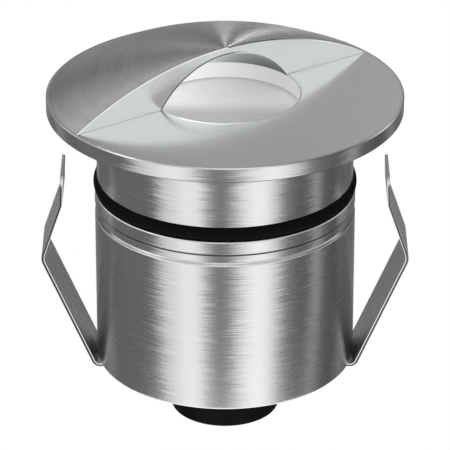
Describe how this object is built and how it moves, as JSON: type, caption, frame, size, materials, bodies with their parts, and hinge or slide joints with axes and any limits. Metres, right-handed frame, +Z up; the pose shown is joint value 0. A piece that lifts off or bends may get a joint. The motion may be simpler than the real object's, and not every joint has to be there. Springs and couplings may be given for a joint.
{
  "type": "recessed deck light",
  "caption": "Recessed deck light: a round flange with a half-dome hood over a frosted window, a sealed turned body, two side spring clips and a cable gland below.",
  "frame": {"origin": "on the body's axis, in the plane of the flange's underside, which rests on the deck", "axes": "+Z up out of the deck along the body's axis; X runs through the two spring clips; the hood's window faces the front and right, between -Y and +X"},
  "size_m": [0.0622, 0.06, 0.067],
  "materials": {
    "brushed_stainless": "turned and brushed stainless steel",
    "spring_steel": "rolled spring steel strip with sheared edges",
    "frosted_glass": "frosted glass",
    "black_rubber": "matt black rubber",
    "black_nylon": "satin black nylon",
    "machined_aluminium": "turned",
    "clear_silicone": "translucent silicone",
    "grey_silicone": "matt",
    "white_solder_mask": "satin solder mask",
    "green_solder_mask": "satin solder mask",
    "yellow_phosphor": "clear silicone over phosphor",
    "zinc_plated_screw": "zinc plated",
    "vacuum_metallised": "bright metallised plastic",
    "wire_insulation": "satin",
    "grey_ferrite": "matt sintered ferrite",
    "black_epoxy": "moulded epoxy",
    "grey_polyamide": "moulded"
  },
  "bodies": {
    "root": {"hooded_cover": "brushed_stainless", "window_lens": "frosted_glass", "lens_gasket": "clear_silicone", "lens_cushion": "black_rubber", "lens_retaining_ring": "machined_aluminium", "neck_o_ring": "black_rubber", "collar_ring": "brushed_stainless", "housing_barrel": "brushed_stainless", "heat_sink": "machined_aluminium", "thermal_pad": "grey_silicone", "led_board": "white_solder_mask", "led_packages": "yellow_phosphor", "led_board_screws": "zinc_plated_screw", "reflector_cup": "vacuum_metallised", "led_leads": "wire_insulation", "driver_standoffs": "black_nylon", "driver_board": "green_solder_mask", "driver_screws": "zinc_plated_screw", "driver_capacitor": "machined_aluminium", "driver_inductor": "grey_ferrite", "driver_bridge": "black_epoxy", "terminal_block": "grey_polyamide", "terminal_screws": "zinc_plated_screw", "clip_strip": "spring_steel", "gland_washer": "black_rubber", "gland_body": "black_nylon", "gland_cap": "black_nylon", "gland_seal": "black_rubber", "gland_locknut": "black_nylon"},
    "right_lower_arm": {"right_clip_lower_arm": "spring_steel"},
    "right_upper_arm": {"right_clip_upper_arm": "spring_steel"},
    "left_lower_arm": {"left_clip_lower_arm": "spring_steel"},
    "left_upper_arm": {"left_clip_upper_arm": "spring_steel"}
  },
  "joints": [
    {"name": "right_foot_bend", "type": "hinge", "parent": "root", "child": "right_lower_arm", "pos_m": [0.02216, 0, -0.04607], "axis": [0, -1, 0], "range_deg": [0, 10.5], "stiffness_Nm_per_rad": 3},
    {"name": "right_elbow_bend", "type": "hinge", "parent": "right_lower_arm", "child": "right_upper_arm", "pos_m": [0.03088, 0, -0.02581], "axis": [0, 1, 0], "range_deg": [0, 7.35]},
    {"name": "left_foot_bend", "type": "hinge", "parent": "root", "child": "left_lower_arm", "pos_m": [-0.02216, 0, -0.04607], "axis": [0, 1, 0], "range_deg": [0, 10.5], "stiffness_Nm_per_rad": 3},
    {"name": "left_elbow_bend", "type": "hinge", "parent": "left_lower_arm", "child": "left_upper_arm", "pos_m": [-0.03088, 0, -0.02581], "axis": [0, -1, 0], "range_deg": [0, 7.35]}
  ],
  "couplings": [
    {"joint": "right_elbow_bend", "follows": "right_foot_bend", "ratio": 0.7},
    {"joint": "left_elbow_bend", "follows": "left_foot_bend", "ratio": 0.7}
  ]
}
